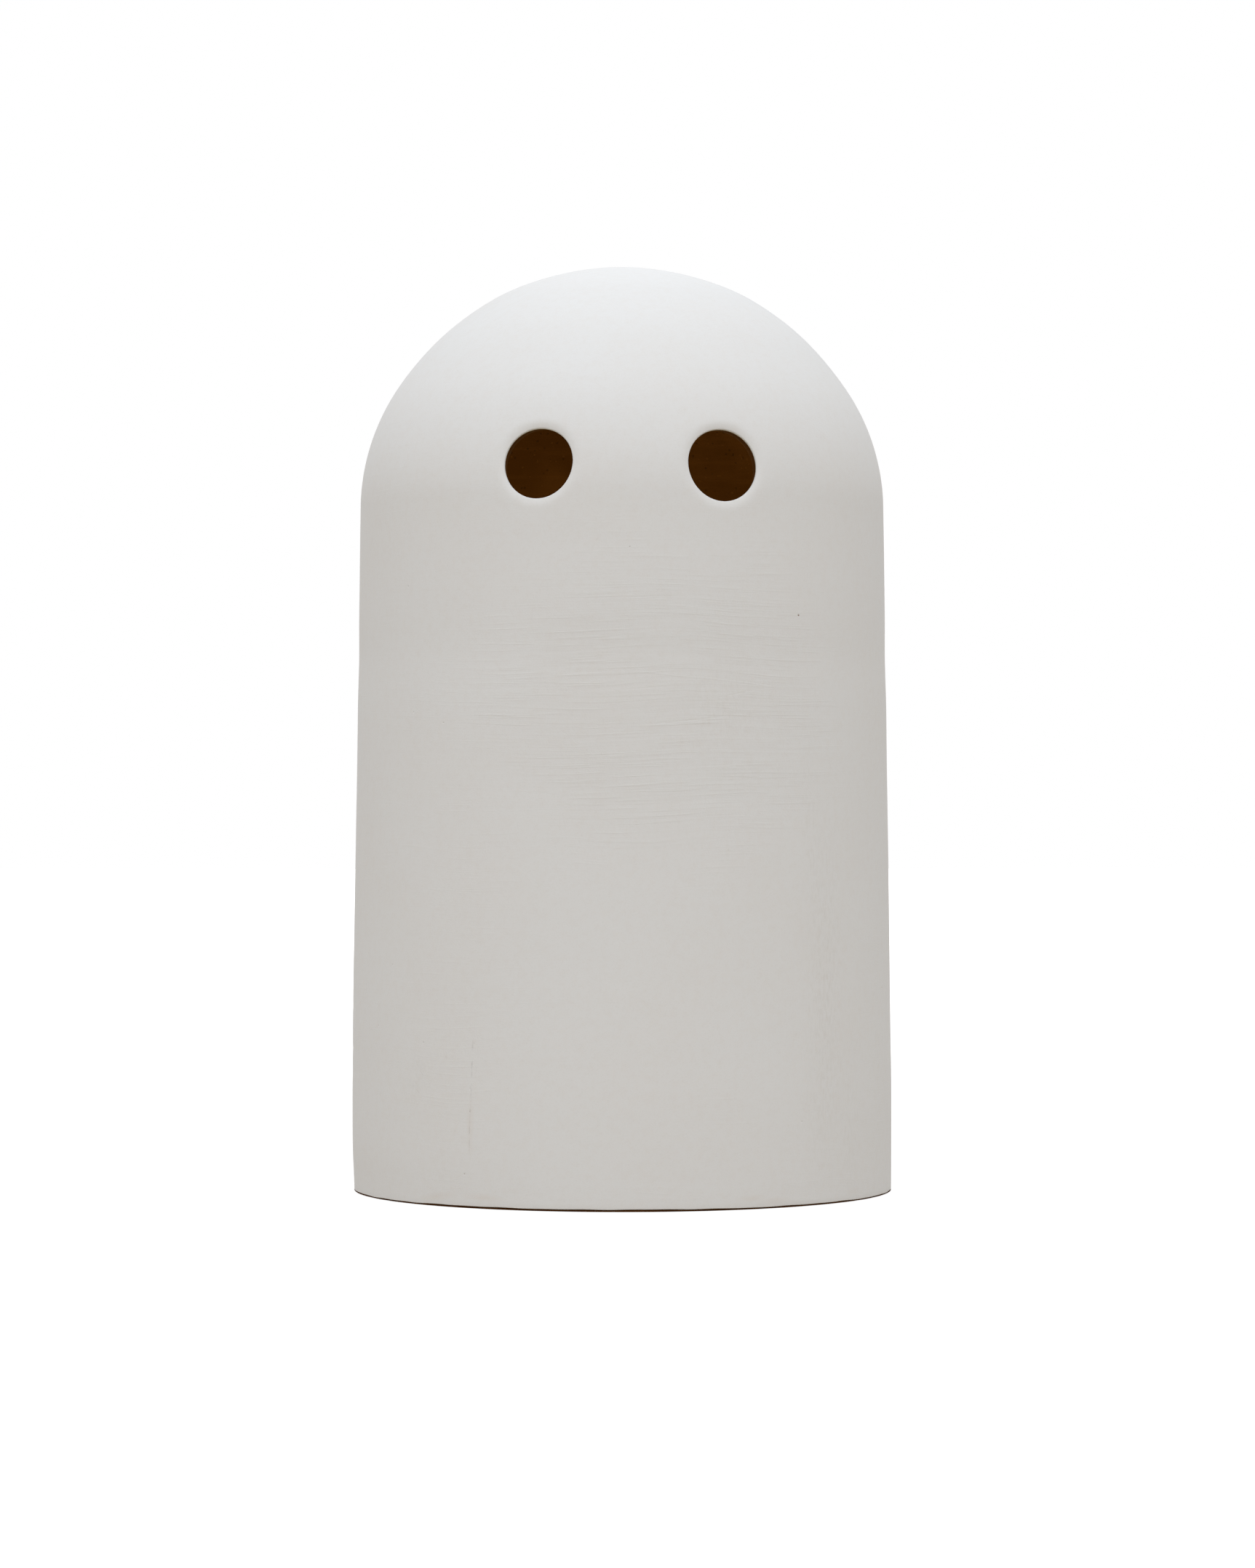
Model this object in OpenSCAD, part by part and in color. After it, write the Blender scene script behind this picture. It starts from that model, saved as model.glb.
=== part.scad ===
// A hollow ceramic ghost figure: a round-topped shell of brown clay, open at the foot,
// with two round eye holes through its front and a brushed coat of white slip outside.
// It stands on z = 0 with its axis on Z, and its face looks along -Y.

/* [Figure] */
// Height of the whole figure
total_h = 300; // [240:1:380]
// Height of the dome above the shoulder
dome_rise = 78.3; // [60:0.1:100]
// Radius over the slip at the shoulder, where the wall runs into the dome
shoulder_r = 85; // [70:0.1:95]
// Radius over the slip at the widest place, low on the wall
belly_r = 87.7; // [75:0.1:100]
// Height of the widest place above the ground
belly_z = 30; // [20:1:60]
// How far the wall draws in from the widest place down to the foot
foot_draw = 0.35; // [0:0.05:2]
// Fullness of the dome's curve: 2 is an ellipse, and less is leaner
dome_power = 1.94; // [1.8:0.01:2.2]

/* [Eyes] */
// Radius of each eye opening, measured inside the white slip
eye_r = 11.3; // [8:0.1:14]
// Height of the eye centres above the shoulder
eye_lift = 9.6; // [6:0.1:20]
// Turn of each eye away from the front, in degrees
eye_turn = 19.9; // [14:0.1:32]
// Upward tilt of each eye's axis, in degrees
eye_tilt = 12; // [0:1:20]

/* [Clay shell] */
// Thickness of the clay in the wall and the dome
clay_t = 6.5; // [5:0.1:9]
// How far below the shoulder the dome is joined to the wall, at the outside
joint_drop = 18; // [16:0.5:30]
// Rise of the bevelled joint from the outside of the clay to the inside
joint_bevel = 4; // [0:0.5:5]
// Width of the bevel that is wiped round the outer edge of the foot
foot_bevel = 0.6; // [0.2:0.1:2]

/* [Coils and foot ring] */
// Radius of the coil that is pressed inside over the joint under the dome
joint_coil_r = 5; // [4:0.1:5.5]
// Radius of the coil that is pressed inside down the seam of the wall
seam_coil_r = 4; // [3:0.1:4.5]
// Depth to which both coils are keyed into the clay
coil_key = 2; // [1:0.1:3]
// Width of the ring that thickens the foot inside
foot_ring_w = 9; // [6:0.5:14]
// Height of the foot ring
foot_ring_h = 12; // [8:0.5:18]
// Bevel on the foot ring's upper inner edge
foot_ring_bevel = 2; // [0.5:0.5:4]

/* [White slip] */
// Thickness of the slip coat
slip_t = 0.7; // [0.4:0.1:1.2]
// Height of the bare clay band between the ground and the slip
slip_line = 0.7; // [0.4:0.1:3]
// How deep the slip runs into each eye hole past the clay's outer face
lip_depth = 1; // [0.5:0.1:3]

/* [Hidden] */
$fn = 96;
// Overrun of every cut past the face that it opens
overrun = 1;
// Straight steps that draw the curve of the foot and of the dome
foot_steps = 4;
dome_steps = 28;
// Height of the shoulder, the eye centres and the joint's outer edge
shoulder_z = total_h - dome_rise;
eye_z = shoulder_z + eye_lift;
joint_z = shoulder_z - joint_drop;
// Depth of the inner face of the clay below the outer face of the slip
inner_depth = slip_t + clay_t;
// A radius that clears the whole figure
clear_r = max(belly_r, shoulder_r) + overrun;
// Radius of the hole through the foot ring
foot_hole_r = wall_r(0) - inner_depth - foot_ring_w;
// Colours of the bare clay, of the coils and foot ring, and of the slip
clay_colour = "#5c3b26";
coil_colour = "#6a4630";
slip_colour = "#e6e4e0";

// Outer radius of the figure at a height on its wall
function wall_r(z) =
    z < belly_z
    ? belly_r - foot_draw * pow(1 - z / belly_z, 2)
    : belly_r + (shoulder_r - belly_r) * (z - belly_z) / (shoulder_z - belly_z);

// Outer radius of the figure at a height on its dome
function dome_r(z) =
    shoulder_r * pow(1 - pow((z - shoulder_z) / dome_rise, dome_power), 1 / dome_power);

// Half outline of the figure, taken in by a depth
function outline(depth) = concat(
    [for (i = [0 : foot_steps])
        let (z = belly_z * i / foot_steps)
        [wall_r(z) - depth, z]],
    [for (i = [0 : dome_steps])
        let (a = 90 * i / dome_steps)
        [(shoulder_r - depth) * pow(cos(a), 2 / dome_power),
         shoulder_z + (dome_rise - depth) * pow(sin(a), 2 / dome_power)]]
);

// The solid figure, taken in by a depth, and let down below the ground by a drop
module turned(depth, drop = 0)
    rotate_extrude()
        polygon(concat([[0, -drop], [wall_r(0) - depth, -drop]], outline(depth)));

// Everything below a height
module below(z)
    translate([0, 0, -overrun])
        cylinder(r = clear_r, h = z + overrun);

// Everything above the bevelled joint between the wall and the dome
module above_joint() {
    joint_r = wall_r(joint_z) - slip_t;
    slope = joint_bevel / clay_t;
    rotate_extrude()
        polygon([
            [0, joint_z + slope * joint_r],
            [clear_r, joint_z - slope * (clear_r - joint_r)],
            [clear_r, total_h + overrun],
            [0, total_h + overrun],
        ]);
}

// Both eye holes, square through the shell, at a radius
module eye_bores(r) {
    reach_in = inner_depth + eye_r;
    reach_out = eye_r;
    for (side = [-1, 1])
        rotate([0, 0, side * eye_turn])
            translate([0, -dome_r(eye_z), eye_z])
                rotate([90 - eye_tilt, 0, 0])
                    translate([0, 0, -reach_in])
                        cylinder(r = r, h = reach_in + reach_out);
}

// The ring of clay over the joint under the dome
module joint_ring() {
    ring_z = joint_z + joint_bevel;
    ring_r = wall_r(ring_z) - inner_depth + coil_key - joint_coil_r;
    rotate_extrude()
        translate([ring_r, ring_z])
            circle(r = joint_coil_r);
}

// The rod of clay down the seam at the back, from the foot ring to the joint
module seam_rod() {
    inset = inner_depth - coil_key + seam_coil_r;
    low_y = wall_r(0) - inset;
    high_y = wall_r(joint_z) - inset;
    lean = atan2(low_y - high_y, joint_z);
    difference() {
        translate([0, low_y, 0])
            rotate([lean, 0, 0])
                cylinder(r = seam_coil_r, h = norm([low_y - high_y, joint_z]));
        below(foot_ring_h);
    }
}

// The domed top, with both eye holes cut through it
module dome_cap()
    color(clay_colour)
        difference() {
            intersection() {
                turned(slip_t);
                above_joint();
            }
            turned(inner_depth);
            eye_bores(eye_r + slip_t);
            joint_ring();
        }

// The wall, a slab bent round and closed at the back
module wall_slab()
    color(clay_colour)
        difference() {
            turned(slip_t);
            turned(inner_depth, overrun);
            above_joint();
            joint_ring();
            seam_rod();
            foot_edge();
        }

// The bevel round the outer edge of the foot
module foot_edge() {
    edge_r = wall_r(0) - slip_t;
    difference() {
        below(foot_bevel);
        translate([0, 0, -overrun])
            cylinder(
                r1 = edge_r - foot_bevel - overrun,
                r2 = edge_r,
                h = foot_bevel + overrun
            );
    }
}

// The coil pressed into the joint between the dome and the wall
module joint_coil()
    color(coil_colour)
        joint_ring();

// The coil pressed into the seam of the wall
module seam_coil()
    color(coil_colour)
        difference() {
            seam_rod();
            joint_ring();
        }

// The ring luted inside the foot to thicken it
module foot_ring()
    color(coil_colour)
        difference() {
            intersection() {
                turned(inner_depth);
                below(foot_ring_h);
            }
            translate([0, 0, -overrun])
                cylinder(r = foot_hole_r, h = foot_ring_h + 2 * overrun);
            translate([0, 0, foot_ring_h - foot_ring_bevel])
                cylinder(
                    r1 = foot_hole_r,
                    r2 = foot_hole_r + foot_ring_bevel + overrun,
                    h = foot_ring_bevel + overrun
                );
        }

// The white coat over the clay, which turns in round each eye hole
module slip_coat()
    color(slip_colour)
        difference() {
            turned(0);
            difference() {
                turned(slip_t, overrun);
                difference() {
                    eye_bores(eye_r + slip_t);
                    turned(slip_t + lip_depth);
                }
            }
            eye_bores(eye_r);
            below(slip_line);
        }

dome_cap();
wall_slab();
joint_coil();
seam_coil();
foot_ring();
slip_coat();
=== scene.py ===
"""A hand-built ghost figure of brown stoneware under white slip, on a pale studio floor."""

import math

import bpy
import numpy as np
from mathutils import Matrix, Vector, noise


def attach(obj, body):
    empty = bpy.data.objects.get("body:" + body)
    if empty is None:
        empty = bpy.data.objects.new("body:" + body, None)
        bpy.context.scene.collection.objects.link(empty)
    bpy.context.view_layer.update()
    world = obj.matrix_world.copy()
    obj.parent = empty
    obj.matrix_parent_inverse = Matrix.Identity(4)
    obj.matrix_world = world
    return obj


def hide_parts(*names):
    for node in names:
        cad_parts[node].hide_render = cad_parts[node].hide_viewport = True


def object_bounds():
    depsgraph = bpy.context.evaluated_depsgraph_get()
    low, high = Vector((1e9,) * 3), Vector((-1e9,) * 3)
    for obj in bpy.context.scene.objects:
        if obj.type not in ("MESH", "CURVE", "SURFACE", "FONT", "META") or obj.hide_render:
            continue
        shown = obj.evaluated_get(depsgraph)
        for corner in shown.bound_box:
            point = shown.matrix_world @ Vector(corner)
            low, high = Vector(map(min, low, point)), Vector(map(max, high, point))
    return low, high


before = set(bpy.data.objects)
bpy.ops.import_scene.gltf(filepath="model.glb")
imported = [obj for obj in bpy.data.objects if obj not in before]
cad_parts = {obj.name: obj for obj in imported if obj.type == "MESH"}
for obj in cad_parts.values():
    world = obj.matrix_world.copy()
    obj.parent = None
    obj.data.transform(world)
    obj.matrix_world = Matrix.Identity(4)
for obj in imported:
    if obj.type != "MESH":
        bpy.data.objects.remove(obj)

bl_info = {
    "name": "Hand-built Ghost Figure",
    "version": (1, 0, 0),
    "blender": (4, 5, 0),
    "location": "View3D > Sidebar > Ghost Figure",
    "description": "Builds a hollow stoneware ghost figure under white slip, and its studio",
    "category": "Add Mesh",
}

MM = 0.001
cad_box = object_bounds()

# How far from each eye hole the slip begins to sink towards it, and how soon it steepens
DIP_REACH = 2.6 * MM
DIP_BEND = 1.8

# How far beyond each eye hole the even grid is cut away, and how many rings fill that gap
GAP_WIDTH = 7.5 * MM
GAP_RINGS = 10
# One in this many of the hidden inner skin's rings below the eyes is kept
HIDDEN_STEP = 7

# The radius at which the outside is unrolled for its marks
ROLL_RADIUS = 86.5 * MM

# Marks of the brush and of handling on the slip, as they lie round the outside:
# (millimetres to the right of the middle of the front, millimetres up, slant in degrees,
# half length and half width in millimetres, share of the full effect)
# Brush lines stand up, or are sunk where their share is below zero
LINES = [
    (8, 166.0, -4, 9, 0.4, 0.8), (22.4, 164.8, -5, 11, 0.4, 0.9), (37.3, 163.2, -6, 11, 0.4, 0.8),
    (-14, 165.6, 4, 12, 0.4, 0.8), (-37, 166.2, 0, 15, 0.35, 0.7), (-37, 165.2, 0, 15, 0.4, -0.6),
    (-44, 153.4, -1, 15, 0.35, 0.7), (-27, 153.6, 3, 8, 0.35, 0.6), (-36, 175.4, -1, 15, 0.35, 0.5),
    (11, 190.0, 0, 20, 0.8, -0.7), (16, 186.8, -4, 8, 0.4, 0.5), (-6, 172.4, 1, 8, 0.35, -0.5),
    (7, 161.8, 6, 13, 0.4, -0.7), (34.5, 160.0, 10, 9, 0.4, -0.7), (30.2, 157.4, 0, 8, 0.4, 0.7),
    (18.4, 151.8, 5.4, 14, 0.4, -0.9), (16, 150.6, 3.5, 18, 0.4, 0.8), (18, 147.4, 1, 15, 0.4, 0.7),
    (35.1, 137.8, 3.3, 14, 0.4, 0.6), (23.6, 133.7, 3, 9, 0.35, 0.5), (96.8, 169, 87, 10, 0.4, 0.5),
]
SCRATCHES = [
    (-51.4, 46, 88, 9, 0.4, 1.5), (-51.7, 36, 88, 10, 0.4, 1.2), (-52.3, 23, 89, 9, 0.35, 0.9),
    (-72.6, 42.2, -51, 4.5, 0.3, 0.7), (-73.8, 35.7, -31, 2.5, 0.35, 0.5),
    (68.2, 91, 81, 7, 0.3, 0.4), (85.2, 23.4, 94, 9, 0.35, 0.7),
]
PITS = [
    (57.8, 184.5, 0, 0.5, 0.5, 1.3), (-81.4, 194.3, 0, 0.4, 0.4, 0.7),
    (-77.8, 154.7, 0, 0.4, 0.4, 0.6), (-63.9, 151.4, 0, 0.4, 0.35, 0.6),
    (-0.4, 205.3, 0, 0.4, 0.4, 0.7), (-87.7, 74.8, 0, 0.4, 0.4, 0.6),
    (-96.4, 55.1, 0, 0.4, 0.4, 0.6), (-71.3, 50.9, 0, 0.45, 0.4, 0.6),
    (-54.2, 10.9, 0, 0.45, 0.4, 0.7), (107.2, 66.8, 0, 0.5, 0.45, 0.7),
    (57.2, 26.6, 0, 0.6, 0.4, 0.5), (-52.1, 30.4, 88, 0.8, 0.4, 0.6),
    (-52.1, 37.6, 88, 1.0, 0.4, 0.5),
]
STAINS = [
    (-66, 3.2, 8, 9, 1.6, 0.3), (-47, 3.5, -5, 9, 1.5, 0.3), (38, 3.3, 6, 6, 1.4, 0.25),
    (47, 2.4, 0, 7, 1.4, 0.25), (83, 3.2, 0, 6, 1.6, 0.2), (-52, 26, 89, 12, 1.6, 0.25),
    (150, 9, 0, 12, 3, 0.2), (-190, 14, 10, 9, 2.5, 0.2), (226, 60, 70, 16, 3, 0.2),
]
RUBBED = [
    (68, 66, 88, 72, 11, 1.0), (62, 120, 92, 40, 6, 0.5), (80, 26, 92, 30, 8, 0.6),
    (-74, 40, 60, 12, 6, 0.6), (30, 155, 90, 30, 20, 0.5), (-160, 110, 85, 65, 12, 0.6),
    (200, 150, 95, 58, 11, 0.6),
]
# The chest, where the brush ran driest
DRIEST = [(12, 157, 0, 80, 62, 1.0)]

# Where hand work left the slip fuller, or drawn in where the rise is below zero: (millimetres
# up, half height in millimetres, degrees round from the front to the viewer's right, half
# width in degrees, rise in millimetres)
ALL_ROUND = math.inf
SWELLS = [
    # The wall is drawn in a little at two thirds of its height, and the crown is full
    (172, 10, 0, ALL_ROUND, -0.2), (291, 5, 0, ALL_ROUND, 0.3), (268, 11, 0, ALL_ROUND, -0.22),
    # At the foot it leans to the viewer's right, over it the left side swells, and the dome
    # is a little flat on the right
    (0, 11, 90, 40, 0.2), (0, 11, -90, 50, -0.35), (64, 22, -90, 50, 0.22),
    (266, 10, 90, 40, -0.2),
    # Narrow nicks, low on the left
    (46, 1.8, -92, 14, -0.14), (38.5, 1.8, -92, 14, -0.12), (60, 1.8, -92, 14, -0.05),
]


def from_hex(code):
    """The linear colour of an sRGB hex value."""
    shares = [int(code[i:i + 2], 16) / 255 for i in (1, 3, 5)]
    return [s / 12.92 if s <= 0.04045 else ((s + 0.055) / 1.055) ** 2.4 for s in shares]


WHITE = (*from_hex("#ffffff"), 1)


def size(name, description, millimetres):
    """A length that a user can set."""
    return bpy.props.FloatProperty(
        name=name, description=description, default=millimetres * MM,
        min=0, precision=5, subtype="DISTANCE", unit="LENGTH")


def turn(name, description, degrees):
    """An angle that a user can set."""
    return bpy.props.FloatProperty(
        name=name, description=description, default=math.radians(degrees),
        subtype="ANGLE", unit="ROTATION")


def colour(name, description, code):
    """A colour that a user can set."""
    return bpy.props.FloatVectorProperty(
        name=name, description=description, default=from_hex(code),
        size=3, min=0, max=1, subtype="COLOR")


def power(name, description, watts):
    """A lamp's power that a user can set."""
    return bpy.props.FloatProperty(
        name=name, description=description, default=watts, min=0, unit="POWER")


class GhostSizes(bpy.types.PropertyGroup):
    """The sizes of the clay figure, the same ones as its solids have"""

    height: size("Height", "Height of the whole figure", cad_box[1].z / MM)
    dome_rise: size("Dome rise", "Height of the dome above the shoulder", 78.3)
    shoulder_radius: size("Shoulder radius", "Radius where the wall runs into the dome", 85)
    belly_radius: size("Belly radius", "Radius at the widest place, low on the wall", 87.7)
    belly_height: size("Belly height", "Height of the widest place above the ground", 30)
    foot_draw: size("Foot draw", "How far the wall draws in down to the foot", 0.35)
    dome_power: bpy.props.FloatProperty(
        name="Dome fullness", description="Power of the dome's curve: 2 is an ellipse",
        default=1.94, min=1.5, max=3)
    eye_radius: size("Eye radius", "Radius of each eye opening inside the slip", 11.3)
    eye_lift: size("Eye lift", "Height of the eye centres above the shoulder", 9.6)
    eye_turn: turn("Eye turn", "Turn of each eye away from the front", 19.9)
    eye_tilt: turn("Eye tilt", "Upward tilt of each eye's axis", 12)
    clay: size("Clay", "Thickness of the clay wall and dome", 6.5)
    slip: size("Slip", "Thickness of the white coat", 0.7)
    slip_line: size("Slip line", "Height of the bare clay band at the foot", 0.7)
    lip_depth: size("Lip depth", "How deep the slip runs in past the clay's face", 1)
    lip_round: size("Lip rounding", "Radius of the softened edge round each eye hole", 0.35)
    lip_sink: size("Lip sinking", "How far the slip sinks towards each eye hole", 0.72)
    joint_drop: size("Joint drop", "Drop of the dome's joint below the shoulder", 18)
    joint_bevel: size("Joint bevel", "Rise of the joint from outside to inside", 4)
    foot_bevel: size("Foot bevel", "Width of the bevel wiped round the foot", 0.6)
    joint_coil: size("Joint coil", "Radius of the coil pressed into the dome's joint", 5)
    seam_coil: size("Seam coil", "Radius of the coil pressed down the wall's seam", 4)
    coil_key: size("Coil key", "Depth to which the coils are keyed into the clay", 2)
    ring_width: size("Foot ring width", "Width of the ring inside the foot", 9)
    ring_height: size("Foot ring height", "Height of the ring inside the foot", 12)
    ring_bevel: size("Foot ring bevel", "Softened upper inner edge of the ring", 2)


class GhostColours(bpy.types.PropertyGroup):
    """The colours of the fired clay and of the slip"""

    slip: colour("Slip", "White slip where it lies full", "#e3e5e7")
    slip_thin: colour("Thin slip", "Slip that the clay tints from below", "#d2c2b2")
    slip_rub: colour("Rubbed slip", "Grey of slip that was rubbed or handled", "#bdbab3")
    rust: colour("Rust spots", "Iron that bled through at pinholes and hairlines", "#7a4a2c")
    clay: colour("Clay", "Dark brown stoneware", "#4c2b0c")
    clay_light: colour("Wiped clay", "The same clay where the sponge left slurry", "#6b4220")
    clay_speck: colour("Iron specks", "Dark specks of iron in the clay", "#1d0f07")
    coil: colour("Coil clay", "The paler clay of the coils and the foot ring", "#5c3418")
    floor: colour("Floor", "What the pale floor casts back", "#6a6154")
    hollow: colour("Hollow glow", "Light of the soft glow inside the figure", "#fff8b5")


class GhostStudio(bpy.types.PropertyGroup):
    """Where the camera stands and how the studio lights the figure"""

    distance: size("Camera distance", "From the figure's axis to the lens", 1593.8)
    camera_height: size("Camera height", "Height of the lens above the floor", 131.97)
    aside: size("Camera aside", "How far the line of sight passes beside the axis", 1.8)
    face_turn: turn("Face turn", "Turn of the figure's face away from the camera", 1.95)
    lens: bpy.props.FloatProperty(
        name="Lens", description="Focal length for a frame that is 36 mm high",
        default=112.3, min=10, subtype="DISTANCE_CAMERA", unit="CAMERA")
    front: power("Front softbox", "Power of the high softbox in front", 13.1)
    left: power("Left softbox", "Power of the softbox on the viewer's left", 0.5)
    hollow: power("Hollow glow", "Power of the soft glow inside the figure", 0.19)
    room_low: bpy.props.FloatProperty(
        name="Low room light", description="Strength of the pale room near the horizon",
        default=0.12, min=0)
    room_side: bpy.props.FloatProperty(
        name="Side room light", description="Strength of the pale room half way up its walls",
        default=1.28, min=0)
    room_top: bpy.props.FloatProperty(
        name="Top room light", description="Strength of the pale room overhead",
        default=1.0, min=0)


class Outline:
    """The figure's half outline, and the skins that lie at a depth below it."""

    def __init__(self, sizes):
        self.height, self.rise = sizes.height, sizes.dome_rise
        self.shoulder = sizes.height - sizes.dome_rise
        self.shoulder_radius, self.belly_radius = sizes.shoulder_radius, sizes.belly_radius
        self.belly, self.draw = sizes.belly_height, sizes.foot_draw
        self.power = sizes.dome_power
        # Lengths along the dome are looked up between fine steps
        self.angles = np.linspace(0, math.pi / 2, 3001)
        radius, height = self.dome(self.angles, 0)
        steps = np.hypot(np.diff(radius), np.diff(height))
        self.arcs = self.shoulder + np.concatenate([[0], np.cumsum(steps)])
        self.crown = self.arcs[-1]

    def wall(self, height):
        """Radius of the wall at a height."""
        foot = self.belly_radius - self.draw * (1 - height / self.belly) ** 2
        share = (height - self.belly) / (self.shoulder - self.belly)
        slope = self.belly_radius + (self.shoulder_radius - self.belly_radius) * share
        return np.where(height < self.belly, foot, slope)

    def dome(self, angle, depth):
        """Radius and height of the dome at an angle from its shoulder to its crown."""
        bend = 2 / self.power
        return ((self.shoulder_radius - depth) * np.cos(angle) ** bend,
                self.shoulder + (self.rise - depth) * np.sin(angle) ** bend)

    def skin(self, along, depth):
        """Radius and height at a distance along the outline, measured up from the ground."""
        along = np.asarray(along, float)
        radius, height = self.dome(np.interp(along, self.arcs, self.angles), depth)
        low = along <= self.shoulder
        return np.where(low, self.wall(along) - depth, radius), np.where(low, along, height)

    def reach(self, height, depth):
        """Radius of the skin at a height."""
        share = np.clip((height - self.shoulder) / (self.rise - depth), 0, 1)
        dome = (self.shoulder_radius - depth) * (1 - share ** self.power) ** (1 / self.power)
        return np.where(height < self.shoulder, self.wall(height) - depth, dome)

    def along(self, points):
        """Distance along the outline of each point."""
        high = np.clip((points[:, 2] - self.shoulder) / self.rise, 0, 1) ** (self.power / 2)
        wide = (np.hypot(points[:, 0], points[:, 1]) / self.shoulder_radius) ** (self.power / 2)
        arc = np.interp(np.arctan2(high, wide), self.angles, self.arcs)
        return np.where(points[:, 2] < self.shoulder, points[:, 2], arc)

    def normals(self, points):
        """The outward direction at each point."""
        share = np.clip((points[:, 2] - self.shoulder) / self.rise, 0, 1)
        level = np.maximum(1 - share ** self.power, 0) ** (1 - 1 / self.power)
        steep = self.shoulder_radius / self.rise * share ** (self.power - 1)
        tilt = np.arctan2(steep, level)
        return around(azimuth_of(points), np.cos(tilt), np.sin(tilt))


def around(azimuth, radius, height):
    """Points at an azimuth that is 0 at the front and grows to the viewer's right."""
    azimuth, radius, height = np.broadcast_arrays(azimuth, radius, height)
    return np.stack([radius * np.sin(azimuth), -radius * np.cos(azimuth), height], -1)


def azimuth_of(points):
    """The azimuth of each point."""
    return np.arctan2(points[:, 0], -points[:, 1])


def wrapped(angle):
    """The same angle, from minus half a turn to half a turn."""
    return (angle + math.pi) % (2 * math.pi) - math.pi


def smooth(share):
    """A soft step from 0 to 1."""
    share = np.clip(share, 0, 1)
    return share * share * (3 - 2 * share)


def hump(distance, width):
    """A soft hump of height 1 round a distance of 0."""
    return np.exp(-(distance / width) ** 2)


def waver(azimuths, *waves):
    """Waves that run round a rim, each given as (height, how many go round, start)."""
    return sum(height * np.sin(count * azimuths + start) for height, count, start in waves)


def uneven(points, grain, shift=0.0):
    """Soft noise from -1 to 1 at each point, with its grain in millimetres along x, y and z."""
    scaled = points / (np.asarray(grain, float) * MM) + shift
    return np.array([noise.noise(p) for p in scaled])


class EyeHole:
    """One eye hole, with its axis square to the shell."""

    # Each hole was cut by hand: its places to the right and up, and its radius, off the
    # plain sizes in millimetres
    OFFSETS = {-1: (-0.3, 0.4, -0.24), 1: (0.5, -0.05, 0.06)}

    def __init__(self, outline, sizes, side):
        aside, lift, wider = self.OFFSETS[side]
        self.outline = outline
        self.radius = sizes.eye_radius + wider * MM
        height = outline.shoulder + sizes.eye_lift + lift * MM
        self.azimuth = side * sizes.eye_turn + aside * MM / float(outline.reach(height, 0))
        tilt = sizes.eye_tilt
        self.centre = around(self.azimuth, outline.reach(height, 0), height)
        self.out = around(self.azimuth, math.cos(tilt), math.sin(tilt))
        self.right = around(self.azimuth + math.pi / 2, 1, 0)
        self.up = np.cross(self.out, self.right)
        self.along = float(outline.along(self.centre[None])[0])

    def flat(self, points):
        """Places of points across the hole's axis."""
        return (points - self.centre) @ np.stack([self.right, self.up], 1)

    def spread(self, places, depth):
        """Points of the skin at a depth, in line with places across the axis."""
        base = self.centre + places @ np.stack([self.right, self.up])
        # The skin is crossed once on the way out, and halving finds where
        low, high = np.full(len(base), -30 * MM), np.full(len(base), 15 * MM)
        for _ in range(40):
            middle = (low + high) / 2
            trial = base + middle[:, None] * self.out
            outside = np.hypot(trial[:, 0], trial[:, 1]) > self.outline.reach(trial[:, 2], depth)
            low, high = np.where(outside, low, middle), np.where(outside, middle, high)
        return base + low[:, None] * self.out


def put(name, data):
    """A new object in the scene."""
    thing = bpy.data.objects.new(name, data)
    bpy.context.scene.collection.objects.link(thing)
    return thing


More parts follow.
